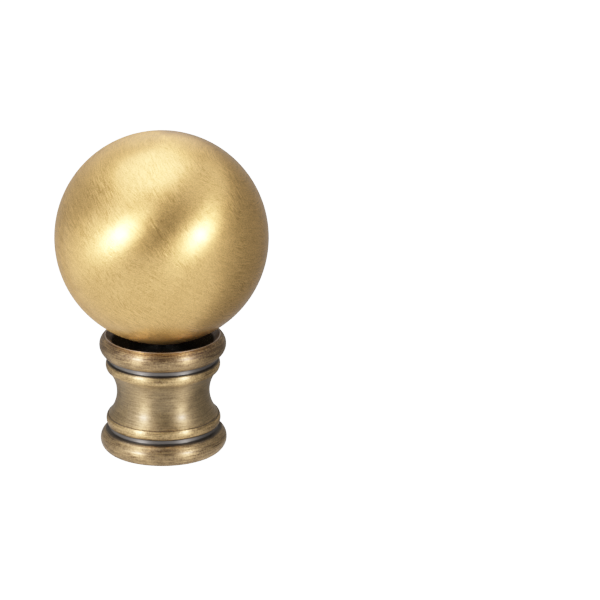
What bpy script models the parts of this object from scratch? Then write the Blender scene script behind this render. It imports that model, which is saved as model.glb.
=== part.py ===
# Lamp shade finial: a plain ball that sits in the recessed top of a turned spool base.
# The base is a spool with the same mouldings at both ends: a fat outer ring, a fine groove,
# a narrow bead, and a hollow waist between the two beads. A tapped blind hole in its underside
# screws onto the threaded post of a lamp harp.
# Units are metres, +Z runs up the axis, and the origin is the centre of the underside.

import math

import bmesh
import bpy

MM = 0.001

# Ball
BALL_DIAMETER = 30.0 * MM
BALL_SEGMENTS = 48
BALL_RINGS = 26

# Base, overall
BASE_HEIGHT = 16.9 * MM
BASE_SEGMENTS = 48
WAIST_DIAMETER = 13.16 * MM
WAIST_STEPS = 8

# Outer ring at each end, measured from that end of the base
RING_DIAMETER = 17.92 * MM
RING_ROUNDING = 1.68 * MM
RING_MIDDLE = 1.46 * MM
RING_HEIGHT = 3.0 * MM
RING_STEPS = 8

# Fine groove between ring and bead
GROOVE_DIAMETER = 15.3 * MM
GROOVE_WIDTH = 0.73 * MM
GROOVE_CORNER = 0.12 * MM

# Bead next to the groove
BEAD_DIAMETER = 16.2 * MM
BEAD_ROUNDING = 1.2 * MM
BEAD_HEIGHT = 1.37 * MM
BEAD_STEPS = 4

# Step from the bead in to the end of the waist's curve
WAIST_STEP = 0.11 * MM

# Recess that the ball sits in
LIP_LAND = 0.08 * MM
RECESS_DEPTH = 1.05 * MM
RECESS_WALL_SLOPE = math.radians(45)
SEAT_GAP = 0.3 * MM

# Tapped hole in the underside: quarter inch, 27 turns to the inch
THREAD_MAJOR_DIAMETER = 6.35 * MM
THREAD_PITCH = 25.4 / 27 * MM
THREAD_TURNS = 10
THREAD_STEPS = 24
THREAD_FLANK_ANGLE = math.radians(30)
THREAD_ROOT_FLAT = THREAD_PITCH / 8
THREAD_CUT_DEPTH = 0.54 * THREAD_PITCH
THREAD_INNER_OVERLAP = 0.15 * MM
TAP_START_ANGLE = math.radians(9)
DRILL_RUNOUT = 0.9 * MM
DRILL_POINT_ANGLE = math.radians(59)
COUNTERBORE_DIAMETER = 7.0 * MM
COUNTERBORE_DEPTH = 1.2 * MM
MOUTH_CHAMFER = 0.2 * MM
CUTTER_REACH = 1.0 * MM

MERGE_DISTANCE = 0.00001
SHARP_ANGLE = math.radians(28)


def clear_scene():
    for existing in list(bpy.data.objects):
        bpy.data.objects.remove(existing, do_unlink=True)


def new_collection(name):
    collection = bpy.data.collections.new(name)
    bpy.context.scene.collection.children.link(collection)
    return collection


def metal(name, colour, roughness):
    material = bpy.data.materials.new(name)
    material.use_nodes = True
    shader = material.node_tree.nodes["Principled BSDF"]
    shader.inputs["Base Color"].default_value = (*colour, 1.0)
    shader.inputs["Metallic"].default_value = 1.0
    shader.inputs["Roughness"].default_value = roughness
    return material


def arc(centre_r, centre_z, radius, start_angle, end_angle, steps):
    """Points on a circular arc in the r-z plane; angle 0 points away from the axis."""
    points = []
    for i in range(steps + 1):
        angle = start_angle + (end_angle - start_angle) * i / steps
        points.append((centre_r + radius * math.cos(angle), centre_z + radius * math.sin(angle)))
    return points


def end_mouldings():
    """Ring, groove and bead of one end, as (radius, distance from that end of the base)."""
    ring_radius = RING_DIAMETER / 2
    ring = arc(
        ring_radius - RING_ROUNDING,
        RING_MIDDLE,
        RING_ROUNDING,
        -math.asin(RING_MIDDLE / RING_ROUNDING),
        math.asin((RING_HEIGHT - RING_MIDDLE) / RING_ROUNDING),
        RING_STEPS,
    )
    groove_radius = GROOVE_DIAMETER / 2
    groove_end = RING_HEIGHT + GROOVE_WIDTH
    groove = [
        (groove_radius, RING_HEIGHT + GROOVE_CORNER),
        (groove_radius, groove_end - GROOVE_CORNER),
    ]
    bead_radius = BEAD_DIAMETER / 2
    bead_turn = math.asin(BEAD_HEIGHT / 2 / BEAD_ROUNDING)
    bead = arc(
        bead_radius - BEAD_ROUNDING,
        groove_end + BEAD_HEIGHT / 2,
        BEAD_ROUNDING,
        -bead_turn,
        bead_turn,
        BEAD_STEPS,
    )
    return ring + groove + bead


def waist_points(start_radius, start_height):
    """The hollow between the beads, as one arc about the middle of the base, top to bottom."""
    half_height = start_height - BASE_HEIGHT / 2
    hollow = start_radius - WAIST_DIAMETER / 2
    sweep_radius = (half_height ** 2 + hollow ** 2) / (2 * hollow)
    half_angle = math.asin(half_height / sweep_radius)
    return arc(
        WAIST_DIAMETER / 2 + sweep_radius,
        BASE_HEIGHT / 2,
        sweep_radius,
        math.pi - half_angle,
        math.pi + half_angle,
        WAIST_STEPS,
    )


def base_profile():
    """Half section of the base before drilling, from the recess down the outside to the underside."""
    mouldings = end_mouldings()
    upper = [(radius, BASE_HEIGHT - distance) for radius, distance in mouldings]
    lower = list(reversed(mouldings))
    bead_edge_radius, bead_edge_height = upper[-1]
    waist = waist_points(bead_edge_radius - WAIST_STEP, bead_edge_height)
    lip_radius = upper[0][0] - LIP_LAND
    floor_radius = lip_radius - RECESS_DEPTH / math.tan(RECESS_WALL_SLOPE)
    floor_height = BASE_HEIGHT - RECESS_DEPTH
    recess = [(0.0, floor_height), (floor_radius, floor_height), (lip_radius, BASE_HEIGHT)]
    return recess + upper + waist + lower + [(0.0, 0.0)]


def drill_profile():
    """Half section of the drilled hole with its point, its counterbore and its chamfered mouth."""
    drill_radius = THREAD_MAJOR_DIAMETER / 2 - THREAD_CUT_DEPTH
    drill_end = COUNTERBORE_DEPTH + THREAD_TURNS * THREAD_PITCH + DRILL_RUNOUT
    point_height = drill_radius / math.tan(DRILL_POINT_ANGLE)
    counterbore_radius = COUNTERBORE_DIAMETER / 2
    return [
        (0.0, drill_end + point_height),
        (drill_radius, drill_end),
        (drill_radius, COUNTERBORE_DEPTH),
        (counterbore_radius, COUNTERBORE_DEPTH),
        (counterbore_radius, MOUTH_CHAMFER),
        (counterbore_radius + MOUTH_CHAMFER + CUTTER_REACH, -CUTTER_REACH),
        (0.0, -CUTTER_REACH),
    ]


def profile_object(name, points, closed, collection):
    """An object that holds only a line of points in the plane y = 0."""
    mesh = bpy.data.meshes.new(name)
    edges = [(i, i + 1) for i in range(len(points) - 1)]
    if closed:
        edges.append((len(points) - 1, 0))
    mesh.from_pydata([(radius, 0.0, height) for radius, height in points], edges, [])
    profile = bpy.data.objects.new(name, mesh)
    collection.objects.link(profile)
    return profile


def turned_object(name, points, steps, collection):
    """A solid of revolution about Z; its profile starts and ends on the axis."""
    turned = profile_object(name, points, False, collection)
    screw = turned.modifiers.new("turn", "SCREW")
    screw.axis = "Z"
    screw.steps = steps
    screw.render_steps = steps
    screw.use_merge_vertices = True
    screw.merge_threshold = MERGE_DISTANCE
    return turned


def thread_groove_profile():
    """Cross-section of the groove that the tap cuts, its narrow side out at the root."""
    root_radius = THREAD_MAJOR_DIAMETER / 2
    inner_radius = root_radius - THREAD_CUT_DEPTH - THREAD_INNER_OVERLAP
    half_root = THREAD_ROOT_FLAT / 2
    half_inner = half_root + (root_radius - inner_radius) * math.tan(THREAD_FLANK_ANGLE)
    return [
        (inner_radius, half_inner),
        (root_radius, half_root),
        (root_radius, -half_root),
        (inner_radius, -half_inner),
    ]


def frozen_mesh(source):
    """The source object's mesh with its modifiers applied."""
    depsgraph = bpy.context.evaluated_depsgraph_get()
    return bpy.data.meshes.new_from_object(source.evaluated_get(depsgraph))


def weld_and_close(mesh):
    """Weld a mesh's doubled points, fill its open ends and turn its faces outwards."""
    editable = bmesh.new()
    editable.from_mesh(mesh)
    bmesh.ops.remove_doubles(editable, verts=editable.verts, dist=MERGE_DISTANCE)
    bmesh.ops.holes_fill(editable, edges=editable.edges, sides=0)
    bmesh.ops.recalc_face_normals(editable, faces=editable.faces)
    editable.to_mesh(mesh)
    editable.free()


def build_tap(collection):
    """The right-hand helical groove as a closed cutter."""
    sweep = profile_object("tap_sweep", thread_groove_profile(), True, collection)
    screw = sweep.modifiers.new("helix", "SCREW")
    screw.axis = "Z"
    screw.steps = THREAD_STEPS
    screw.render_steps = THREAD_STEPS
    screw.iterations = THREAD_TURNS
    screw.screw_offset = THREAD_PITCH
    mesh = frozen_mesh(sweep)
    bpy.data.objects.remove(sweep, do_unlink=True)
    weld_and_close(mesh)
    tap = bpy.data.objects.new("tap", mesh)
    tap.location.z = COUNTERBORE_DEPTH
    tap.rotation_euler.z = TAP_START_ANGLE
    collection.objects.link(tap)
    return tap


def hide_cutter(cutter):
    cutter.hide_render = True
    cutter.display_type = "WIRE"


def cut(target, cutter):
    boolean = target.modifiers.new(cutter.name, "BOOLEAN")
    boolean.operation = "DIFFERENCE"
    boolean.solver = "EXACT"
    boolean.object = cutter


def build_base(parts, cutters):
    blank = turned_object("base_blank", base_profile(), BASE_SEGMENTS, parts)
    drill = turned_object("drill", drill_profile(), THREAD_STEPS, cutters)
    tap = build_tap(cutters)
    for cutter in (drill, tap):
        hide_cutter(cutter)
        cut(blank, cutter)
    split = blank.modifiers.new("split_many_sided_faces", "TRIANGULATE")
    split.ngon_method = "BEAUTY"
    split.min_vertices = 5
    mesh = frozen_mesh(blank)
    bpy.data.objects.remove(blank, do_unlink=True)
    mesh.name = "base"
    weld_and_close(mesh)
    mesh.shade_smooth()
    mesh.set_sharp_from_angle(angle=SHARP_ANGLE)
    base = bpy.data.objects.new("base", mesh)
    parts.objects.link(base)
    mesh.materials.clear()
    mesh.materials.append(metal("antique_brass", (0.30, 0.22, 0.13), 0.38))
    return base


def build_ball(parts):
    mesh = bpy.data.meshes.new("ball")
    editable = bmesh.new()
    bmesh.ops.create_uvsphere(
        editable, u_segments=BALL_SEGMENTS, v_segments=BALL_RINGS, radius=BALL_DIAMETER / 2
    )
    editable.to_mesh(mesh)
    editable.free()
    ball = bpy.data.objects.new("ball", mesh)
    ball.location.z = BASE_HEIGHT - RECESS_DEPTH + SEAT_GAP + BALL_DIAMETER / 2
    parts.objects.link(ball)
    mesh.shade_smooth()
    mesh.materials.append(metal("satin_brass", (0.62, 0.45, 0.18), 0.30))
    return ball


def main():
    clear_scene()
    parts = new_collection("lamp_finial")
    cutters = new_collection("cutters")
    base = build_base(parts, cutters)
    ball = build_ball(parts)
    for piece in (base, ball):
        print(piece.name, "placed at height", round(piece.location.z / MM, 2), "mm")


main()
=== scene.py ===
# %% [markdown]
# # A ball finial in satin and antique brass
#
# A lamp finial is the small nut that holds a lamp shade down on its harp. This one is two turned
# pieces of brass: a brushed ball and a spool-shaped base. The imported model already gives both
# pieces at their real size. This script keeps those sizes and makes the surfaces fine enough to
# look at closely: smooth curves, softened edges, a cut thread, turning marks and brushed metal.

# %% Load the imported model
import math

import bmesh
import bpy
import numpy as np
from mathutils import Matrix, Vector


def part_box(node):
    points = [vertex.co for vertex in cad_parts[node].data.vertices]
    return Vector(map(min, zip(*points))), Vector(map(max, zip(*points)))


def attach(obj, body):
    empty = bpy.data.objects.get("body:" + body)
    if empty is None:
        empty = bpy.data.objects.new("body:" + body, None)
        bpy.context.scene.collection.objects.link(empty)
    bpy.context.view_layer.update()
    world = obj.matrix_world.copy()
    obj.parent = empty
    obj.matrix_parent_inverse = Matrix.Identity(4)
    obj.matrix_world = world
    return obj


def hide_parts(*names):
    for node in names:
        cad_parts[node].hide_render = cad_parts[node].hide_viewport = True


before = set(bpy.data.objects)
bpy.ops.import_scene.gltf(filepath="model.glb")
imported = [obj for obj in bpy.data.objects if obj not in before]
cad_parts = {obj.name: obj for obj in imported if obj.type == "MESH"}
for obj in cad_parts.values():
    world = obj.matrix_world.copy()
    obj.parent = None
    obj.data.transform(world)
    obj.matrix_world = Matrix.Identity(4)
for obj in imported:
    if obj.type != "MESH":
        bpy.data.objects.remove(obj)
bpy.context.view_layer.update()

# %% [markdown]
# Lengths below are written in millimetres and multiplied by MM, because Blender works in metres
# here. The ball and the height of the base are read from the model, so they cannot drift.

# %% Read the main sizes from the model
MM = 0.001

ball_low, ball_high = (Vector(corner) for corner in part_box("ball"))
BALL_RADIUS = (ball_high.z - ball_low.z) / 2
BALL_CENTRE = Vector((0.0, 0.0, (ball_high.z + ball_low.z) / 2))
BASE_HEIGHT = Vector(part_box("base")[1]).z
print("ball radius", round(BALL_RADIUS / MM, 2), "mm")
print("base height", round(BASE_HEIGHT / MM, 2), "mm")

# %% [markdown]
# ## The camera
#
# The camera stands far off with a long lens, as for a catalogue picture, so the ball's outline is
# almost a true circle. It looks down by about nineteen degrees. The picture is 600 pixels wide,
# and the ball's centre and radius in that picture fix where the camera stands: the radius gives
# the distance, and the centre gives how far the camera sits to the side and above.

# %% Place the camera
PICTURE_SIZE = 600
SENSOR_WIDTH = 36.0
FOCAL_PIXELS = 4400.0
LOOK_DOWN = math.radians(19.3)
BALL_PIXEL_X = 161.6
BALL_PIXEL_Y = 237.4
BALL_PIXEL_RADIUS = 107.36
NEAREST_SEEN = 0.01
FURTHEST_SEEN = 20.0


def camera_axes(look_down):
    """Unit vectors to the right of the camera, above it and straight ahead."""
    right = Vector((1.0, 0.0, 0.0))
    up = Vector((0.0, math.sin(look_down), math.cos(look_down)))
    ahead = Vector((0.0, math.cos(look_down), -math.sin(look_down)))
    return right, up, ahead


def place_camera():
    right, up, ahead = camera_axes(LOOK_DOWN)
    off_x = (BALL_PIXEL_X - PICTURE_SIZE / 2) / FOCAL_PIXELS
    off_y = (PICTURE_SIZE / 2 - BALL_PIXEL_Y) / FOCAL_PIXELS
    towards_ball = (ahead + off_x * right + off_y * up).normalized()
    distance = BALL_RADIUS / math.sin(math.atan(BALL_PIXEL_RADIUS / FOCAL_PIXELS))
    data = bpy.data.cameras.new("camera")
    data.sensor_width = SENSOR_WIDTH
    data.lens = FOCAL_PIXELS / PICTURE_SIZE * SENSOR_WIDTH
    data.clip_start = NEAREST_SEEN
    data.clip_end = FURTHEST_SEEN
    camera = bpy.data.objects.new("camera", data)
    camera.location = BALL_CENTRE - distance * towards_ball
    camera.rotation_euler = (math.pi / 2 - LOOK_DOWN, 0.0, 0.0)
    bpy.context.scene.collection.objects.link(camera)
    bpy.context.scene.camera = camera
    print("camera", round(distance / MM), "mm from the ball, lens", round(data.lens), "mm")


place_camera()

# %% [markdown]
# ## The turned base
#
# A lathe makes this piece, so one outline spun about the axis gives the whole form. Both ends
# carry the same mouldings. Going in from the end there is a fat ring, a fine groove and a narrow
# bead, and between the two beads the waist is a single hollow curve.
#
# The outline is worked out from the same sizes as the model, but with many more points on each
# curve. Lengths along the axis are measured from the nearer end.

# %% Sizes of the base's mouldings
RING_RADIUS = 8.96 * MM
RING_ROUNDING = 1.68 * MM
RING_MIDDLE = 1.46 * MM
RING_HEIGHT = 3.0 * MM
GROOVE_RADIUS = 7.65 * MM
GROOVE_WIDTH = 0.73 * MM
GROOVE_CORNER = 0.12 * MM
BEAD_RADIUS = 8.1 * MM
BEAD_ROUNDING = 1.2 * MM
BEAD_HEIGHT = 1.37 * MM
WAIST_RADIUS = 6.58 * MM
WAIST_STEP = 0.11 * MM
LIP_LAND = 0.08 * MM
RECESS_DEPTH = 1.05 * MM
RECESS_WALL_SLOPE = math.radians(45)
print("ring", 2 * RING_RADIUS / MM, "mm wide, waist", 2 * WAIST_RADIUS / MM, "mm wide")

# %% [markdown]
# The ring and the bead are parts of circles, as a form tool leaves them, and the groove between
# them is cut straight in. Arcs laid end to end give these shapes exactly. A spline through a few
# points would be quicker to draw, but it would not hold the sizes.

# %% Draw the mouldings
CURVE_STEPS = 18
WAIST_STEPS = 40


def arc(centre_r, centre_z, radius, start_angle, end_angle, steps):
    """Points on a circular arc; angle 0 points away from the axis."""
    angles = np.linspace(start_angle, end_angle, steps + 1)
    return [(centre_r + radius * math.cos(a), centre_z + radius * math.sin(a)) for a in angles]


def end_mouldings():
    """Ring, groove and bead, as (radius, distance from the end of the base)."""
    ring = arc(
        RING_RADIUS - RING_ROUNDING,
        RING_MIDDLE,
        RING_ROUNDING,
        -math.asin(RING_MIDDLE / RING_ROUNDING),
        math.asin((RING_HEIGHT - RING_MIDDLE) / RING_ROUNDING),
        CURVE_STEPS,
    )
    groove_end = RING_HEIGHT + GROOVE_WIDTH
    groove = [
        (GROOVE_RADIUS, RING_HEIGHT + GROOVE_CORNER),
        (GROOVE_RADIUS, groove_end - GROOVE_CORNER),
    ]
    bead_turn = math.asin(BEAD_HEIGHT / 2 / BEAD_ROUNDING)
    bead_middle = groove_end + BEAD_HEIGHT / 2
    bead = arc(
        BEAD_RADIUS - BEAD_ROUNDING, bead_middle, BEAD_ROUNDING, -bead_turn, bead_turn, CURVE_STEPS
    )
    return ring + groove + bead


def waist_curve(start_radius, start_height):
    """One arc from bead to bead, top to bottom."""
    half_height = start_height - BASE_HEIGHT / 2
    hollow = start_radius - WAIST_RADIUS
    sweep = (half_height ** 2 + hollow ** 2) / (2 * hollow)
    half_angle = math.asin(half_height / sweep)
    return arc(
        WAIST_RADIUS + sweep,
        BASE_HEIGHT / 2,
        sweep,
        math.pi - half_angle,
        math.pi + half_angle,
        WAIST_STEPS,
    )


mouldings = end_mouldings()
print("points on one end's mouldings:", len(mouldings))

# %% [markdown]
# The flat underside shows the turning marks of the facing tool: shallow rings, each a little
# further out than the last. They are real geometry here, a few thousandths of a millimetre deep,
# and they only cut into the metal, so the base still stands on z = 0.

# %% Facing marks on the underside
MARK_PITCH = 0.27 * MM
MARK_DEPTH = 0.007 * MM
MARK_STEPS = 5
COUNTERBORE_RADIUS = 3.5 * MM
MOUTH_CHAMFER = 0.2 * MM
MARK_MARGIN = 0.12 * MM


def facing_marks(outer_radius):
    """Points from the outer edge of the underside in to the mouth of the hole."""
    start = outer_radius - MARK_MARGIN
    stop = COUNTERBORE_RADIUS + MOUTH_CHAMFER + MARK_MARGIN
    marks = round((start - stop) / MARK_PITCH)
    points = []
    for i in range(marks * MARK_STEPS + 1):
        share = i / (marks * MARK_STEPS)
        lift = MARK_DEPTH * (1 - math.cos(2 * math.pi * marks * share)) / 2
        points.append((start + (stop - start) * share, lift))
    return points


print("facing marks:", len(facing_marks(mouldings[0][0])), "points")

# %% [markdown]
# Real edges are never perfectly sharp. Each strong corner of the outline is replaced by a tiny
# curve, a few hundredths of a millimetre across, which is what catches the light along an edge.

# %% Soften the corners and assemble the outline
EDGE_EASE = 0.06 * MM
EASE_SHARE = 0.45
EASE_STEPS = 4
CORNER_ANGLE = math.radians(20)


def soften(points):
    """The outline with every corner sharper than CORNER_ANGLE rounded off."""
    rounded = [points[0]]
    for before, here, after in zip(points, points[1:], points[2:]):
        a, b, c = np.array(before), np.array(here), np.array(after)
        reach_in = np.linalg.norm(a - b)
        reach_out = np.linalg.norm(c - b)
        way_in = (b - a) / reach_in
        way_out = (c - b) / reach_out
        turn = math.acos(max(-1.0, min(1.0, float(way_in @ way_out))))
        if turn < CORNER_ANGLE:
            rounded.append(here)
            continue
        start = b - way_in * min(EDGE_EASE, reach_in * EASE_SHARE)
        end = b + way_out * min(EDGE_EASE, reach_out * EASE_SHARE)
        for t in np.linspace(0.0, 1.0, EASE_STEPS + 1):
            rounded.append(tuple((1 - t) ** 2 * start + 2 * t * (1 - t) * b + t ** 2 * end))
    rounded.append(points[-1])
    return rounded


def base_outline():
    """The whole outline from the middle of the recess down the outside to the middle below."""
    upper = [(radius, BASE_HEIGHT - distance) for radius, distance in mouldings]
    lower = list(reversed(mouldings))
    bead_edge = upper[-1]
    waist = waist_curve(bead_edge[0] - WAIST_STEP, bead_edge[1])
    lip_radius = upper[0][0] - LIP_LAND
    floor_radius = lip_radius - RECESS_DEPTH / math.tan(RECESS_WALL_SLOPE)
    floor_height = BASE_HEIGHT - RECESS_DEPTH
    recess = [(0.0, floor_height), (floor_radius, floor_height), (lip_radius, BASE_HEIGHT)]
    foot_radius = lower[-1][0]
    first_mark = (foot_radius - MARK_MARGIN, 0.0)
    outside = soften(recess + upper + waist + lower + [first_mark])
    return outside[:-1] + facing_marks(foot_radius) + [(0.0, 0.0)]


outline = base_outline()
print("outline points:", len(outline))

# %% [markdown]
# Spinning the outline could be left to a Screw modifier. Here the grid of points is computed
# directly, because every row and column is then known and the two ends close neatly on the axis.

# %% Spin an outline into a closed mesh
BASE_SEGMENTS = 240


def new_object(name, data):
    made = bpy.data.objects.new(name, data)
    bpy.context.scene.collection.objects.link(made)
    return made


def spun_mesh(name, points, segments):
    """A closed solid of revolution from an outline that starts and ends on the axis."""
    inner = np.array(points[1:-1])
    angles = 2 * math.pi * np.arange(segments) / segments
    rings = np.empty((len(inner), segments, 3))
    rings[:, :, 0] = inner[:, :1] * np.cos(angles)
    rings[:, :, 1] = inner[:, :1] * np.sin(angles)
    rings[:, :, 2] = inner[:, 1:]
    top = len(inner) * segments
    ends = [(0.0, 0.0, points[0][1]), (0.0, 0.0, points[-1][1])]
    vertices = rings.reshape(-1, 3).tolist() + ends
    faces = []
    for row in range(len(inner) - 1):
        for column in range(segments):
            beside = (column + 1) % segments
            here = row * segments
            below = here + segments
            faces.append((here + column, below + column, below + beside, here + beside))
    last = (len(inner) - 1) * segments
    for column in range(segments):
        beside = (column + 1) % segments
        faces.append((top, column, beside))
        faces.append((top + 1, last + beside, last + column))
    mesh = bpy.data.meshes.new(name)
    mesh.from_pydata(vertices, [], faces)
    mesh.shade_smooth()
    return mesh


turned_base = new_object("turned_base", spun_mesh("turned_base", outline, BASE_SEGMENTS))
print("base before drilling:", len(turned_base.data.polygons), "faces")

# %% [markdown]
# ## The tapped hole
#
# The finial screws onto a quarter inch post with 27 turns to the inch. A drill makes the hole, a
# counterbore widens its mouth, and a tap cuts the helical groove. The same order works here: two
# cutters are subtracted one after the other.

# %% Sizes of the hole
THREAD_RADIUS = 3.175 * MM
THREAD_PITCH = 25.4 / 27 * MM
THREAD_TURNS = 10
THREAD_STEPS = 72
THREAD_ROOT = THREAD_PITCH / 8
THREAD_FLANK_ANGLE = math.radians(30)
THREAD_DEPTH = 0.54 * THREAD_PITCH
THREAD_OVERLAP = 0.15 * MM
TAP_START_ANGLE = math.radians(9)
COUNTERBORE_DEPTH = 1.2 * MM
DRILL_RUNOUT = 0.9 * MM
DRILL_POINT_ANGLE = math.radians(59)
CUTTER_REACH = 1.0 * MM
print("thread", round(THREAD_PITCH / MM, 3), "mm from turn to turn")

# %% [markdown]
# The drill, its pointed end and the counterbore are one more outline spun about the axis. Its last
# part flares out below the base and cuts the small chamfer at the mouth.

# %% The drill
def drill_outline():
    drill_radius = THREAD_RADIUS - THREAD_DEPTH
    drill_end = COUNTERBORE_DEPTH + THREAD_TURNS * THREAD_PITCH + DRILL_RUNOUT
    return [
        (0.0, drill_end + drill_radius / math.tan(DRILL_POINT_ANGLE)),
        (drill_radius, drill_end),
        (drill_radius, COUNTERBORE_DEPTH),
        (COUNTERBORE_RADIUS, COUNTERBORE_DEPTH),
        (COUNTERBORE_RADIUS, MOUTH_CHAMFER),
        (COUNTERBORE_RADIUS + MOUTH_CHAMFER + CUTTER_REACH, -CUTTER_REACH),
        (0.0, -CUTTER_REACH),
    ]


drill = new_object("drill", spun_mesh("drill", drill_outline(), THREAD_STEPS))
print("drill:", len(drill.data.polygons), "faces")

# %% [markdown]
# The tap is a small closed cross-section swept along a helix, so the thread starts and ends as a
# real one does. A bump in the material would be cheaper, but it would be gone from the mesh.

# %% The tap
def tap_section():
    """Cross-section of the thread's groove, with its narrow side out at the root."""
    inner = THREAD_RADIUS - THREAD_DEPTH - THREAD_OVERLAP
    half_root = THREAD_ROOT / 2
    half_inner = half_root + (THREAD_RADIUS - inner) * math.tan(THREAD_FLANK_ANGLE)
    return [
        (inner, half_inner),
        (THREAD_RADIUS, half_root),
        (THREAD_RADIUS, -half_root),
        (inner, -half_inner),
    ]


def tap_mesh():
    """The cross-section swept up a right-hand helix and closed at both ends."""
    section = tap_section()
    sides = len(section)
    stops = THREAD_TURNS * THREAD_STEPS
    vertices = []
    for i in range(stops + 1):
        angle = TAP_START_ANGLE + 2 * math.pi * i / THREAD_STEPS
        rise = COUNTERBORE_DEPTH + THREAD_PITCH * i / THREAD_STEPS
        for radius, height in section:
            vertices.append((radius * math.cos(angle), radius * math.sin(angle), rise + height))
    faces = [tuple(range(sides)), tuple(range(stops * sides + sides - 1, stops * sides - 1, -1))]
    for i in range(stops):
        for side in range(sides):
            beside = (side + 1) % sides
            here = i * sides
            faces.append((here + side, here + sides + side, here + sides + beside, here + beside))
    mesh = bpy.data.meshes.new("tap")
    mesh.from_pydata(vertices, [], faces)
    editable = bmesh.new()
    editable.from_mesh(mesh)
    bmesh.ops.recalc_face_normals(editable, faces=editable.faces)
    editable.to_mesh(mesh)
    editable.free()
    return mesh


tap = new_object("tap", tap_mesh())
print("tap:", len(tap.data.polygons), "faces")

# %% [markdown]
# The exact solver is slower than the fast one, but it copes with a cutter whose turns lie close
# together. After the cut the faces are shaded smooth again, except across sharp edges.

# %% Cut the hole
SHARP_ANGLE = math.radians(32)


def subtract(target, cutters):
    """Cut the cutters out of the target, keep the result as its mesh, and remove the cutters."""
    for cutter in cutters:
        boolean = target.modifiers.new(cutter.name, "BOOLEAN")
        boolean.operation = "DIFFERENCE"
        boolean.solver = "EXACT"
        boolean.object = cutter
    depsgraph = bpy.context.evaluated_depsgraph_get()
    result = bpy.data.meshes.new_from_object(target.evaluated_get(depsgraph))
    target.modifiers.clear()
    target.data = result
    for cutter in cutters:
        bpy.data.objects.remove(cutter, do_unlink=True)


subtract(turned_base, [drill, tap])
turned_base.data.shade_smooth()
turned_base.data.set_sharp_from_angle(angle=SHARP_ANGLE)
print("base:", len(turned_base.data.polygons), "faces")

# %% [markdown]
# ## The ball
#
# The ball is one smooth sphere of many small faces, because the real one has no seam, flat or
# edge. All of its character is in the brushed skin, which the material makes further down. The
# object could be tipped to follow its slanted brush strokes, but an upright piece keeps a tight box
# round it, so the material slants the strokes instead.

# %% Make the ball
BALL_SEGMENTS = 200
BALL_RINGS = 100


def build_ball():
    mesh = bpy.data.meshes.new("brushed_ball")
    editable = bmesh.new()
    bmesh.ops.create_uvsphere(
        editable, u_segments=BALL_SEGMENTS, v_segments=BALL_RINGS, radius=BALL_RADIUS
    )
    editable.to_mesh(mesh)
    editable.free()
    mesh.shade_smooth()
    ball = new_object("brushed_ball", mesh)
    ball.location = BALL_CENTRE
    return ball


brushed_ball = build_ball()
print("ball:", len(brushed_ball.data.polygons), "faces")

# %% [markdown]
# ## Writing shader maths as Python
#
# A material is a graph of nodes. Long sums are easier to read as Python, so this class wraps one
# output socket and turns +, -, * and / into Math nodes. The reflected forms let a plain number
# stand on the left, as in 1 - mask.

# %% A socket that does arithmetic
class Wire:
    """One value inside a material, carried by an output socket."""

    def __init__(self, recipe, socket):
        self.recipe = recipe
        self.socket = socket

    def __add__(self, other):
        return self.recipe.maths("ADD", self, other)

    __radd__ = __add__

    def __sub__(self, other):
        return self.recipe.maths("SUBTRACT", self, other)

    def __rsub__(self, other):
        return self.recipe.maths("SUBTRACT", other, self)

    def __mul__(self, other):
        return self.recipe.maths("MULTIPLY", self, other)

    __rmul__ = __mul__

    def __truediv__(self, other):
        return self.recipe.maths("DIVIDE", self, other)

    def __rtruediv__(self, other):
        return self.recipe.maths("DIVIDE", other, self)

    def between(self, low, high):
        """The same value, kept from going under low or over high."""
        at_least = self.recipe.maths("MAXIMUM", self, low)
        return self.recipe.maths("MINIMUM", at_least, high)


print("a wire can be added, subtracted, multiplied, divided and kept between limits")

# %% [markdown]
# Every node comes from one method, which takes the kind of node, its settings and what goes into
# its sockets. A plain number or colour is set on the socket, and a wire is linked to it.

# %% A recipe that makes nodes
class Recipe:
    """The nodes of a material, or of the world, filled in through one method."""

    def __init__(self, owner, shader="Principled BSDF"):
        owner.use_nodes = True
        self.owner = owner
        self.tree = owner.node_tree
        self.shader = self.tree.nodes[shader]

    def node(self, kind, settings=None, inputs=None, output=0):
        """Add a node: its settings first, then the values or wires of its sockets."""
        made = self.tree.nodes.new(kind)
        for name, value in (settings or {}).items():
            setattr(made, name, value)
        for key, value in (inputs or {}).items():
            self.feed(made.inputs[key], value)
        return Wire(self, made.outputs[output])

    def feed(self, socket, value):
        if isinstance(value, Wire):
            self.tree.links.new(value.socket, socket)
        else:
            socket.default_value = value

    def maths(self, operation, *operands):
        inputs = {i: operand for i, operand in enumerate(operands)}
        return self.node("ShaderNodeMath", {"operation": operation}, inputs)

    def shade(self, **values):
        """Set or link the shader's own sockets, named with _ for each space."""
        for name, value in values.items():
            self.feed(self.shader.inputs[name.replace("_", " ")], value)


def material_recipe(name):
    return Recipe(bpy.data.materials.new(name))


print("shader helpers ready")

# %% [markdown]
# A few more small helpers keep the materials short. Object coordinates are in metres, so they are
# scaled to millimetres first and every size below reads as a real length. They move with the
# piece and need no unwrapping, which suits round metal that has no seam.

# %% Helpers for coordinates
def object_point(recipe):
    """Object coordinates in millimetres, as a vector."""
    coordinates = recipe.node("ShaderNodeTexCoord", output="Object")
    return recipe.node(
        "ShaderNodeVectorMath", {"operation": "SCALE"}, {0: coordinates, "Scale": 1 / MM}
    )


def split(recipe, vector):
    """The x, y and z of a vector as three wires."""
    parts = recipe.node("ShaderNodeSeparateXYZ", inputs={0: vector})
    outputs = parts.socket.node.outputs
    return [Wire(recipe, outputs[i]) for i in range(3)]


def join(recipe, x, y, z):
    return recipe.node("ShaderNodeCombineXYZ", inputs={0: x, 1: y, 2: z})


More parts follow.
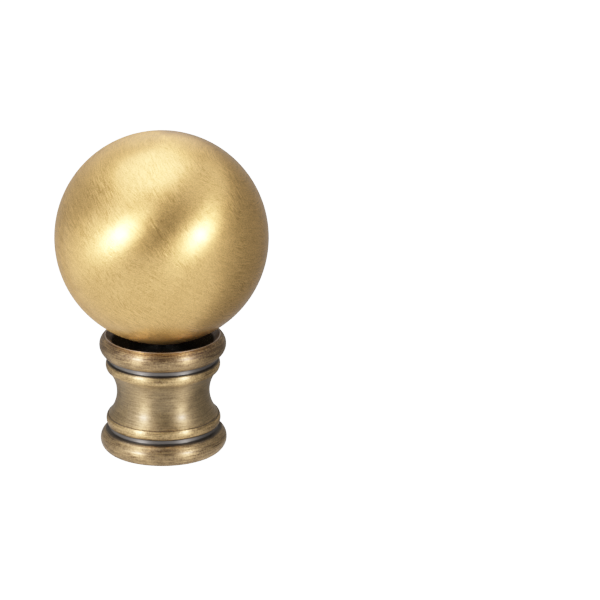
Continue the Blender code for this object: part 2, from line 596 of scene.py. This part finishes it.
def turned_and_stretched(recipe, vector, size, turn=(0.0, 0.0, 0.0)):
    """A vector turned by some angles and then measured in cells of the given size."""
    return recipe.node(
        "ShaderNodeMapping",
        {"vector_type": "TEXTURE"},
        {"Vector": vector, "Rotation": turn, "Scale": size},
    )


print("coordinate helpers ready")

# %% [markdown]
# Noise gives every mark on the metal, and a smooth step turns a position into a soft-edged mask. A
# Mix node has one set of sockets for each kind of data, so its colour sockets are found by number.

# %% Helpers for patterns and colours
MIX_FIRST = 6
MIX_SECOND = 7
MIX_RESULT = 2


def noise(recipe, vector, detail):
    """Smooth noise between about 0.2 and 0.8, with cells one unit wide."""
    return recipe.node(
        "ShaderNodeTexNoise", inputs={"Vector": vector, "Scale": 1.0, "Detail": detail}
    )


def clouds(recipe, point, width, detail, height=None):
    """Soft patches of a given width in millimetres, as high as they are wide unless told."""
    size = (width, width, height or width)
    return noise(recipe, turned_and_stretched(recipe, point, size), detail)


def step_between(recipe, value, low, high):
    """0 below low, 1 above high, and smooth in between; low may be the larger number."""
    return recipe.node(
        "ShaderNodeMapRange",
        {"interpolation_type": "SMOOTHSTEP"},
        {"Value": value, "From Min": low, "From Max": high, "To Min": 0.0, "To Max": 1.0},
    )


def blend_colour(recipe, factor, first, second):
    """The first colour where factor is 0, the second where it is 1."""
    inputs = {"Factor": factor, MIX_FIRST: first, MIX_SECOND: second}
    return recipe.node("ShaderNodeMix", {"data_type": "RGBA"}, inputs, output=MIX_RESULT)


def bump(recipe, height, distance):
    return recipe.node("ShaderNodeBump", inputs={"Height": height, "Distance": distance})


def rgb(red, green, blue):
    return (red, green, blue, 1.0)


print("pattern helpers ready")

# %% [markdown]
# ## Satin brass for the ball
#
# Brushing leaves thousands of fine scratches, each a short arc round the brushing axis. Noise
# squeezed thin one way and drawn long the other way gives such strokes. An axis is given as the
# camera sees it, as so much to the right, up and towards the camera, because that is how it is
# judged against a picture.

# %% Brushed strokes
MAIN_STROKES = {"axis": (0.61, 0.71, 0.35), "length": 1.3, "width": 0.12}
UPRIGHT_STROKES = {"axis": (0.85, 0.50, 0.15), "length": 1.2, "width": 0.13}
FLAT_STROKES = {"axis": (0.35, 0.90, 0.25), "length": 1.2, "width": 0.13}
LONG_STROKES = {"axis": (0.61, 0.71, 0.35), "length": 6.0, "width": 0.30}
STROKE_DETAIL = 1.5


def ball_tilt(right_up_near):
    """Angles that turn the ball's own Z axis to a direction given in the camera's axes."""
    right, up, ahead = camera_axes(LOOK_DOWN)
    axis = right_up_near[0] * right + right_up_near[1] * up - right_up_near[2] * ahead
    return axis.to_track_quat("Z", "Y").to_euler()


def arc_strokes(recipe, point, axis, length, width):
    """Strokes that circle an axis of the ball, with length and width in millimetres."""
    tipped = turned_and_stretched(recipe, point, (1.0, 1.0, 1.0), ball_tilt(axis))
    x, y, z = split(recipe, tipped)
    height = (z * (MM / BALL_RADIUS)).between(-1.0, 1.0)
    from_pole = recipe.maths("ARCCOSINE", height) * (BALL_RADIUS / MM)
    cells = join(recipe, x / length, y / length, from_pole / width)
    return noise(recipe, cells, STROKE_DETAIL)


print("main strokes tilted by", [round(math.degrees(a)) for a in ball_tilt(MAIN_STROKES["axis"])])

# %% [markdown]
# One set of strokes runs round the main axis everywhere. Two more sets, round tipped axes, show
# only in soft-edged patches where the brush was held differently. A few long scratches cross them
# all, and some places were worked harder than others.

# %% Mix the strokes
PATCH_WIDTH = 6.0
WORKED_WIDTH = 3.0
SHORT_SHARE = 0.75
LONG_SHARE = 0.25
FAINTEST_WORK = 0.55
HARDER_WORK = 0.9


def brushed_strokes(recipe, point):
    """All strokes together, dark under 0.5 and bright over it."""
    main = arc_strokes(recipe, point, **MAIN_STROKES)
    upright = arc_strokes(recipe, point, **UPRIGHT_STROKES)
    flat = arc_strokes(recipe, point, **FLAT_STROKES)
    long_scratches = arc_strokes(recipe, point, **LONG_STROKES)
    patches = clouds(recipe, point, PATCH_WIDTH, detail=1.0)
    in_upright = step_between(recipe, patches, 0.52, 0.62)
    in_flat = step_between(recipe, patches, 0.46, 0.38)
    short = main * (1 - in_upright) * (1 - in_flat) + upright * in_upright + flat * in_flat
    worked = step_between(recipe, clouds(recipe, point, WORKED_WIDTH, detail=2.0), 0.42, 0.60)
    together = short * SHORT_SHARE + long_scratches * LONG_SHARE
    return 0.5 + (together - 0.5) * (FAINTEST_WORK + worked * HARDER_WORK)


print("patches", PATCH_WIDTH, "mm wide")

# %% [markdown]
# The strokes drive a very shallow bump, and they change the colour and the roughness a little. A
# brushed face spreads a highlight across its scratches, which the shader's Anisotropic value does.
# Its direction is counted from level circles round the ball, where a quarter turn is upright. A
# thin clear lacquer on top gives the small white hearts of the highlights, because lacquer mirrors
# a lamp in the lamp's own colour and brass tints it.

# %% Satin brass
DARK_BRASS = rgb(0.52, 0.305, 0.092)
BRIGHT_BRASS = rgb(0.89, 0.54, 0.19)
SATIN_TONE = 0.55
SATIN_GRAIN = 0.16
SATIN_MOTTLE = 4.0
SATIN_ROUGHNESS = 0.29
STROKE_ROUGHNESS = 0.16
SATIN_BUMP = 0.028 * MM


def swing(pattern, amount):
    """How far a noise is from its middle value, made larger."""
    return (pattern - 0.5) * amount


def satin_brass():
    recipe = material_recipe("satin_brass")
    point = object_point(recipe)
    strokes = brushed_strokes(recipe, point)
    grain = clouds(recipe, point, SATIN_GRAIN, detail=1.0)
    mottle = clouds(recipe, point, SATIN_MOTTLE, detail=3.0)
    tone = SATIN_TONE + swing(strokes, 2.3) + swing(grain, 1.9) + swing(mottle, 0.6)
    recipe.shade(
        Base_Color=blend_colour(recipe, tone.between(0.0, 1.0), DARK_BRASS, BRIGHT_BRASS),
        Metallic=1.0,
        Roughness=SATIN_ROUGHNESS + strokes * STROKE_ROUGHNESS,
        Anisotropic=0.6,
        Anisotropic_Rotation=0.115,
        Specular_Tint=rgb(0.70, 0.65, 0.60),
        Coat_Weight=0.36,
        Coat_Roughness=0.2,
        Normal=bump(recipe, strokes + grain * 0.4, SATIN_BUMP),
    )
    return recipe.owner


brushed_ball.data.materials.append(satin_brass())
print("satin brass on the ball")

# %% [markdown]
# ## Antique brass for the base
#
# Antique brass is brass that was darkened all over and then rubbed back on a lathe. The raised
# parts are golden, the waist stays greyer, and the sharp inner corners carry a black line that is
# partly patina and partly painted shade. The bottoms of the two grooves were cut after the
# darkening, so they are bare and silvery.
#
# Both ends carry the same mouldings, so the distance from the middle of the base tells which
# moulding a point is on. The places where the finish changes are worked out from the same sizes
# as the outline, in millimetres.

# %% Places on the base
TOP = BASE_HEIGHT / MM
MIDDLE = TOP / 2
RING_EDGE = MIDDLE - RING_HEIGHT / MM
BEAD_EDGE = RING_EDGE - GROOVE_WIDTH / MM
WAIST_EDGE = BEAD_EDGE - BEAD_HEIGHT / MM
LIP_RADIUS = mouldings[0][0] / MM - LIP_LAND / MM / 2
RECESS_FLOOR = (BASE_HEIGHT - RECESS_DEPTH) / MM
HOLE_MOUTH = (COUNTERBORE_RADIUS + MOUTH_CHAMFER) / MM
THREAD_CREST = (THREAD_RADIUS - THREAD_DEPTH) / MM
print("groove from", round(BEAD_EDGE, 2), "to", round(RING_EDGE, 2), "mm from the middle")

# %% [markdown]
# The rubbing follows the lathe marks, so one pattern of fine and coarse lines, grain and soft
# patches says how far each spot was rubbed back. Every layer of the finish below reads it.

# %% Lathe marks on the base
def turning_lines(recipe, point, radius, length, width):
    """Fine lines round the axis; the fourth dimension keeps them fine on flat faces too."""
    x, y, z = split(recipe, point)
    return recipe.node(
        "ShaderNodeTexNoise",
        {"noise_dimensions": "4D"},
        {
            "Vector": join(recipe, x / length, y / length, z / width),
            "W": radius / width,
            "Scale": 1.0,
            "Detail": 2.0,
        },
    )


class TurnedFace:
    """Where a point of the base lies, and the marks that it carries."""

    def __init__(self, recipe):
        point = object_point(recipe)
        x, y, z = split(recipe, point)
        self.height = z
        self.radius = recipe.maths("SQRT", x * x + y * y)
        self.from_middle = recipe.maths("ABSOLUTE", z - MIDDLE)
        self.fine = turning_lines(recipe, point, self.radius, length=2.2, width=0.12)
        self.coarse = turning_lines(recipe, point, self.radius, length=4.0, width=0.30)
        self.grain = clouds(recipe, point, 0.22, detail=2.0)
        mottle = clouds(recipe, point, 2.0, detail=4.0, height=0.9)
        lines = swing(self.fine, 1.9) + swing(self.coarse, 0.5)
        self.rubbed = lines + swing(self.grain, 1.3) + swing(mottle, 0.9)


print("lathe marks ready")

# %% [markdown]
# The first layer is the metal itself. Each moulding runs from a dark tone, where the patina
# stayed, to a bright one, where it was rubbed through. At the top end the ring is also painted
# darker towards the lip.

# %% Waist, beads and rings
WAIST_COLOURS = (rgb(0.12, 0.080, 0.036), rgb(0.54, 0.378, 0.190))
BEAD_COLOURS = (rgb(0.15, 0.088, 0.034), rgb(0.78, 0.525, 0.235))
RING_COLOURS = (rgb(0.11, 0.066, 0.029), rgb(0.56, 0.375, 0.18))
# Darker tone of the top ring near the lip.
LIP_DARK_TONE = rgb(0.13, 0.072, 0.038)
LIP_DARK_START = 2.2
LIP_DARK_END = 0.5
LIP_DARK_LIMIT = 0.8


def rubbed_mouldings(recipe, face, raised):
    """Colour of the waist where raised is 0, and of the beads and rings where it is 1."""
    waist_rubbed = (0.47 + face.rubbed * 0.6).between(0.0, 1.0)
    raised_rubbed = (0.5 + face.rubbed).between(0.0, 1.0)
    waist = blend_colour(recipe, waist_rubbed, *WAIST_COLOURS)
    bead = blend_colour(recipe, raised_rubbed, *BEAD_COLOURS)
    ring = blend_colour(recipe, raised_rubbed, *RING_COLOURS)
    near_lip = step_between(recipe, face.height, TOP - LIP_DARK_START, TOP - LIP_DARK_END)
    darker_near_lip = (near_lip * (0.35 - face.rubbed * 0.9)).between(0.0, LIP_DARK_LIMIT)
    ring = blend_colour(recipe, darker_near_lip, ring, LIP_DARK_TONE)
    on_ring = step_between(recipe, face.from_middle, BEAD_EDGE, RING_EDGE)
    return blend_colour(recipe, raised, waist, blend_colour(recipe, on_ring, bead, ring))


print("waist, beads and rings ready")

# %% [markdown]
# The second layer is the two grooves. Their bottoms are bare, and the sharp inner corners beside
# them are painted black, partly patina where no rag reaches and partly painted shade. A fainter
# black line of the same kind marks where each bead meets the waist.

# %% Grooves and creases
BARE_GROOVE = rgb(0.18, 0.165, 0.155)
# Black of the inner corners: partly patina, partly painted shade.
PATINA_AND_SHADE_BLACK = rgb(0.035, 0.028, 0.022)
RING_CREASE = 0.28
BEAD_CREASE = 0.24
WAIST_CREASE = 0.12
WAIST_CREASE_STRENGTH = 0.7
CREASE_LIMIT = 0.9
OUTSIDE_START = 6.0
OUTSIDE_END = 6.3
GROOVE_SPILL = 0.02
GROOVE_FADE = 0.05


def band(recipe, value, centre, half_width):
    """1 at the centre, falling to 0 at half_width on each side."""
    return step_between(recipe, recipe.maths("ABSOLUTE", value - centre), half_width, 0.0)


def cut_grooves(recipe, face, colour):
    outside = step_between(recipe, face.radius, OUTSIDE_START, OUTSIDE_END)
    past_bead = step_between(
        recipe, face.from_middle, BEAD_EDGE - GROOVE_SPILL, BEAD_EDGE + GROOVE_FADE
    )
    before_ring = step_between(
        recipe, face.from_middle, RING_EDGE + GROOVE_SPILL, RING_EDGE - GROOVE_FADE
    )
    colour = blend_colour(recipe, past_bead * before_ring * outside, colour, BARE_GROOVE)
    # Black lines at the inner corners and where each bead meets the waist: patina and painted
    # shade.
    crease_patina_and_shade = (
        band(recipe, face.from_middle, RING_EDGE, RING_CREASE)
        + band(recipe, face.from_middle, BEAD_EDGE, BEAD_CREASE)
        + band(recipe, face.from_middle, WAIST_EDGE, WAIST_CREASE) * WAIST_CREASE_STRENGTH
    )
    return blend_colour(recipe, (crease_patina_and_shade * outside).between(0.0, CREASE_LIMIT), colour, PATINA_AND_SHADE_BLACK)


print("grooves", round(RING_EDGE - BEAD_EDGE, 2), "mm wide")

# %% [markdown]
# The third layer is the recess under the ball. Its floor and the foot of its wall are painted
# black as painted shade under the ball, with a few pale specks; the rest of the wall is grey, and
# the lip carries a thin pale painted highlight.

# %% Recess and lip
RECESS_WALL = rgb(0.36, 0.32, 0.29)
# The black of the recess floor and the foot of its wall is painted shade under the ball.
RECESS_SHADE_BLACK = rgb(0.009, 0.0085, 0.008)
RECESS_SPECK = rgb(0.20, 0.18, 0.15)
# The pale lip line is a painted highlight.
LIP_HIGHLIGHT = rgb(0.78, 0.68, 0.60)
LIP_HALF_WIDTH = 0.17
LIP_DEPTH = 0.2
RECESS_SHADE_START = 0.45
RECESS_SHADE_FULL = 0.1


def inside_recess(recipe, face):
    """1 on the floor and the wall of the recess; the wall is one slope, so z - radius finds it."""
    high_up = step_between(recipe, face.height, RECESS_FLOOR - 0.3, RECESS_FLOOR - 0.1)
    lip_line = TOP - LIP_RADIUS
    inner_slope = step_between(recipe, face.height - face.radius, lip_line - 0.03, lip_line + 0.05)
    return high_up * inner_slope


def paint_recess_shade_and_lip_highlight(recipe, face, in_recess, colour):
    near_floor = step_between(
        recipe, face.height, RECESS_FLOOR + RECESS_SHADE_START, RECESS_FLOOR + RECESS_SHADE_FULL
    )
    # A thin painted highlight along the lip.
    on_lip = band(recipe, face.radius, LIP_RADIUS, LIP_HALF_WIDTH) * (
        step_between(recipe, face.height, TOP - LIP_DEPTH, TOP)
    )
    specks = step_between(recipe, face.grain, 0.62, 0.70)
    # Painted shade on the floor and the foot of the wall, with a few pale specks.
    black = blend_colour(recipe, specks, RECESS_SHADE_BLACK, RECESS_SPECK)
    colour = blend_colour(recipe, in_recess, colour, RECESS_WALL)
    colour = blend_colour(recipe, in_recess * near_floor, colour, black)
    return blend_colour(recipe, on_lip, colour, LIP_HIGHLIGHT)


print("lip at", round(LIP_RADIUS, 2), "mm from the axis")

# %% [markdown]
# The last layer is the underside, which is paler and greyer than the outside, and the hole. Inside
# the hole only the crests of the thread catch the light, so its roots are painted dark.

# %% Underside and hole
UNDERSIDE_COLOURS = (rgb(0.26, 0.22, 0.16), rgb(0.46, 0.40, 0.30))
UNDERSIDE_OUTER = 8.16
UNDERSIDE_INNER = 8.06
UNDERSIDE_TOP = 0.08
UNDERSIDE_FULL = 0.02
HOLE_COLOURS = (rgb(0.07, 0.065, 0.06), rgb(0.42, 0.38, 0.32))


def face_underside(recipe, face, colour):
    low_down = step_between(recipe, face.height, UNDERSIDE_TOP, UNDERSIDE_FULL)
    off_hole = step_between(recipe, face.radius, HOLE_MOUTH, HOLE_MOUTH + 0.1)
    inside_edge = step_between(recipe, face.radius, UNDERSIDE_OUTER, UNDERSIDE_INNER)
    rubbed = (0.5 + face.rubbed * 0.5).between(0.0, 1.0)
    metal = blend_colour(recipe, rubbed, *UNDERSIDE_COLOURS)
    return blend_colour(recipe, low_down * off_hole * inside_edge, colour, metal)


def inside_hole(recipe, face):
    near_axis = step_between(recipe, face.radius, HOLE_MOUTH - 0.02, HOLE_MOUTH - 0.12)
    return near_axis * step_between(recipe, face.height, RECESS_FLOOR - 1.0, RECESS_FLOOR - 2.0)


def darken_hole(recipe, face, in_hole, colour):
    crest = step_between(recipe, face.radius, THREAD_CREST + 0.14, THREAD_CREST + 0.03)
    return blend_colour(recipe, in_hole, colour, blend_colour(recipe, crest, *HOLE_COLOURS))


print("thread crest at", round(THREAD_CREST, 2), "mm from the axis")

# %% [markdown]
# Turned metal spreads a highlight up and down, across its lathe marks, so the base gets a strong
# upright stretch: a quarter turn from the marks. Its lacquer is left out of the recess and the
# hole.

# %% Antique brass
TURNED_ROUGHNESS = 0.46
TURNED_BUMP = 0.02 * MM
LACQUER = 0.42


def antique_brass():
    recipe = material_recipe("antique_brass")
    face = TurnedFace(recipe)
    raised = step_between(recipe, face.from_middle, WAIST_EDGE - 0.3, WAIST_EDGE + 0.1)
    in_recess = inside_recess(recipe, face)
    in_hole = inside_hole(recipe, face)
    colour = rubbed_mouldings(recipe, face, raised)
    colour = cut_grooves(recipe, face, colour)
    colour = paint_recess_shade_and_lip_highlight(recipe, face, in_recess, colour)
    colour = face_underside(recipe, face, colour)
    colour = darken_hole(recipe, face, in_hole, colour)
    recipe.shade(
        Base_Color=colour,
        Metallic=1.0,
        Roughness=TURNED_ROUGHNESS - raised * 0.05 + face.fine * 0.09 + in_recess * 0.12,
        Specular_Tint=rgb(0.60, 0.55, 0.50),
        Anisotropic=0.78,
        Anisotropic_Rotation=0.25,
        Coat_Weight=(LACQUER - in_recess * LACQUER) * (1 - in_hole),
        Coat_Roughness=0.28,
        Normal=bump(recipe, face.fine + face.coarse * 0.8 + face.grain * 0.3, TURNED_BUMP),
    )
    return recipe.owner


turned_base.data.materials.clear()
turned_base.data.materials.append(antique_brass())
print("antique brass on the base")

# %% [markdown]
# ## Join the pieces to the model
#
# Each fine piece takes the place of its plain solid and rides on the same rigid body.

# %% Replace the plain solids
for piece, node, slot in (
    (brushed_ball, "ball", "satin_brass"),
    (turned_base, "base", "antique_brass"),
):
    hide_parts(node)
    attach(piece, "root")
    print(piece.name, "stands for", node)

# %% [markdown]
# ## Studio
#
# The picture is a plain white product shot. A brushed ball is nearly a mirror, so what matters
# most is what it sees: two small strong lights in front, broad weak panels round them and
# overhead, a dark sheet on one side, a room that is brighter behind, and a white floor.
#
# The floor is two sheets in one place. The metal sees a light table that glows gently, and the
# camera sees overexposed white paper, as in a catalogue.

# %% Floor
FLOOR_HALF_WIDTH = 3.0
FLOOR_GLOW = 0.86
FLOOR_PAINT = 0.22
PAPER_GLOW = 3.0


def grey(value):
    return rgb(value, value, value)


def flat_sheet(name, paint, glow):
    s = FLOOR_HALF_WIDTH
    mesh = bpy.data.meshes.new(name)
    mesh.from_pydata([(-s, -s, 0.0), (s, -s, 0.0), (s, s, 0.0), (-s, s, 0.0)], [], [(0, 1, 2, 3)])
    recipe = material_recipe(name)
    recipe.shade(
        Base_Color=grey(paint),
        Roughness=0.9,
        Specular_IOR_Level=0.0,
        Emission_Color=grey(1.0),
        Emission_Strength=glow,
    )
    mesh.materials.append(recipe.owner)
    sheet = new_object(name, mesh)
    return sheet


table = flat_sheet("light_table", FLOOR_PAINT, FLOOR_GLOW)
table.visible_camera = False
paper = flat_sheet("white_paper", 0.0, PAPER_GLOW)
paper.visible_diffuse = False
paper.visible_glossy = False
paper.visible_shadow = False
print("floor", 2 * FLOOR_HALF_WIDTH, "m wide")

# %% [markdown]
# Each panel is described by the direction it stands in, how wide it looks from the ball and how
# bright it looks, and its power follows from those. The two keys are small and strong and make the
# two white highlights. The others are weak and shape the broad tones. The camera sees none of them.

# %% Soft panels
PANEL_DISTANCE = 1.3
# Name, azimuth, elevation and half angle in degrees, and brightness
PANELS = (
    ("left_key", -45.5, 15.5, 6, 93),
    ("right_key", 45, 15.5, 5, 117),
    ("left_fill", -60, 10, 30, 1.7),
    ("right_fill", 46, 14, 26, 0.6),
    ("ceiling_panel", -130, 78, 28, 3.9),
    ("upper_left_panel", -48, 52, 24, 1.3),
    ("upper_right_panel", 89, 56, 31, 1.2),
    ("back_panel", 180, 35, 18, 1.0),
    ("left_side_panel", -95, 25, 22, 0.3),
    ("front_panel", 0, 62, 20, 0.25),
)


def direction(azimuth, elevation):
    """A unit vector; azimuth 0 is towards the camera and grows to its right. Both in degrees."""
    turn = math.radians(azimuth)
    rise = math.radians(elevation)
    level = math.cos(rise)
    return Vector((math.sin(turn) * level, -math.cos(turn) * level, math.sin(rise)))


def soft_panel(name, azimuth, elevation, half_angle, brightness):
    """A round panel aimed at the ball that covers half_angle degrees on each side."""
    radius = PANEL_DISTANCE * math.tan(math.radians(half_angle))
    data = bpy.data.lights.new(name, "AREA")
    data.shape = "DISK"
    data.size = 2 * radius
    data.energy = brightness * math.pi * math.pi * radius ** 2
    panel = new_object(name, data)
    way = direction(azimuth, elevation)
    panel.location = BALL_CENTRE + PANEL_DISTANCE * way
    panel.rotation_euler = way.to_track_quat("Z", "Y").to_euler()
    panel.visible_camera = False
    print(name, round(2 * radius, 2), "m wide,", round(data.energy, 1), "W")


for panel_values in PANELS:
    soft_panel(*panel_values)

# %% [markdown]
# A dark sheet bends round the object on its right and behind it, with a foot that reaches in over
# the floor. It stops the white floor from lighting that side, as the darker half of a real studio
# does. Only mirror-like reflections see the sheet, so it casts no shadow and never shows in a
# picture.

# %% Shape of the dark sheet
SHEET_RADIUS = 60 * MM
SHEET_FLOOR_REACH = 11 * MM
SHEET_SIDE_HEIGHT = 70 * MM
SHEET_BACK_HEIGHT = 50 * MM
SHEET_LIFT = 0.5 * MM
SHEET_START = 58
SHEET_END = 245
SHEET_LOWERS_FROM = 140
SHEET_LOWERS_TO = 175
SHEET_STEPS = 24


def sheet_profile(azimuth):
    """The sheet cut through at one azimuth, as (distance from the axis, height)."""
    height = np.interp(
        azimuth, [SHEET_LOWERS_FROM, SHEET_LOWERS_TO], [SHEET_SIDE_HEIGHT, SHEET_BACK_HEIGHT]
    )
    return [
        (SHEET_FLOOR_REACH, SHEET_LIFT),
        (SHEET_RADIUS, SHEET_LIFT),
        (SHEET_RADIUS, float(height)),
    ]


def sheet_mesh():
    vertices = []
    for azimuth in np.linspace(SHEET_START, SHEET_END, SHEET_STEPS + 1):
        way = direction(float(azimuth), 0.0)
        profile = sheet_profile(azimuth)
        vertices += [(way.x * reach, way.y * reach, height) for reach, height in profile]
    rows = len(profile)
    faces = []
    for i in range(SHEET_STEPS):
        for j in range(rows - 1):
            here = i * rows + j
            faces.append((here, here + rows, here + rows + 1, here + 1))
    mesh = bpy.data.meshes.new("dark_sheet")
    mesh.from_pydata(vertices, [], faces)
    return mesh


print("dark sheet", round(SHEET_SIDE_HEIGHT / MM), "mm high at the side")

# %% [markdown]
# The sheet is not one tone. It glows in tones of its own, as painted light that only reflections
# show: darkest on the right, fading to grey at its front edge and behind the object, with a black
# strip straight behind. The strip draws the dark lines down the edges of the metal that tell a
# shiny surface from a dull one.

# %% Glow of the dark sheet
DARK_GLOW = 0.36
GREY_GLOW = 0.65
DARK_START = 90
DARK_END = 115
GREY_START = 170
STRAIGHT_BEHIND = 180.0
STRIP_HALF_WIDTH = 32
STRIP_TOP = 38.0
STRIP_FULL = 30.0
HALF_TURN = 180.0
FULL_TURN = 360.0


def sheet_glow():
    recipe = material_recipe("sheet_glow")
    x, y, z = split(recipe, object_point(recipe))
    azimuth = recipe.maths("ARCTAN2", x, 0 - y) * (HALF_TURN / math.pi)
    azimuth = azimuth + recipe.maths("LESS_THAN", azimuth, 0.0) * FULL_TURN
    front_fade = step_between(recipe, azimuth, DARK_START, SHEET_START)
    back_fade = step_between(recipe, azimuth, DARK_END, GREY_START)
    glow = blend_colour(recipe, front_fade + back_fade, grey(DARK_GLOW), grey(GREY_GLOW))
    behind = band(recipe, azimuth, STRAIGHT_BEHIND, STRIP_HALF_WIDTH)
    strip = behind * step_between(recipe, z, STRIP_TOP, STRIP_FULL)
    glow = blend_colour(recipe, (strip * 2.0).between(0.0, 1.0), glow, grey(0.0))
    recipe.shade(
        Base_Color=grey(0.0), Specular_IOR_Level=0.0, Emission_Color=glow, Emission_Strength=1.0
    )
    return recipe.owner


def build_sheet():
    sheet = new_object("dark_sheet", sheet_mesh())
    sheet.data.materials.append(sheet_glow())
    sheet.visible_camera = False
    sheet.visible_diffuse = False
    sheet.visible_shadow = False


build_sheet()
print("black strip", 2 * STRIP_HALF_WIDTH, "degrees wide")

# %% [markdown]
# The room itself is nearly dark on the camera's side and bright behind the object, so the rims of
# the metal stay light against the white paper.

# %% Room
ROOM_FRONT = 0.03
ROOM_BACK = 1.25


def build_room():
    world = bpy.data.worlds.new("studio")
    bpy.context.scene.world = world
    recipe = Recipe(world, shader="Background")
    x, y, z = split(recipe, recipe.node("ShaderNodeTexCoord", output="Generated"))
    limits = {"From Min": 0.0, "From Max": 1.0, "To Min": ROOM_FRONT, "To Max": ROOM_BACK}
    towards_back = recipe.node("ShaderNodeMapRange", inputs={"Value": y, **limits})
    recipe.shade(Color=grey(1.0), Strength=towards_back)


build_room()
print("room", ROOM_FRONT, "in front,", ROOM_BACK, "behind")

# %% [markdown]
# A camera does not record light in proportion: bright tones are squeezed together, so a bright
# patch of brass turns pale cream and not yellow. The curve below does the same to the picture. It
# starts in proportion, then bends, and light of about 2.7 times the level of paper white comes out
# as pure white.

# %% Tone curve of the picture
SHOULDER = 0.92
WHITE_LEVEL = -math.log(1 - SHOULDER) / SHOULDER
TONE_STEPS = 16
COMBINED_CURVE = 3


def set_tone_curve():
    view = bpy.context.scene.view_settings
    view.view_transform = "Standard"
    view.use_curve_mapping = True
    mapping = view.curve_mapping
    mapping.white_level = (WHITE_LEVEL, WHITE_LEVEL, WHITE_LEVEL)
    curve = mapping.curves[COMBINED_CURVE]
    for i in range(1, TONE_STEPS):
        share = i / TONE_STEPS
        curve.points.new(share, (1 - math.exp(-SHOULDER * WHITE_LEVEL * share)) / SHOULDER)
    mapping.update()


set_tone_curve()
print("white at", round(WHITE_LEVEL, 2))
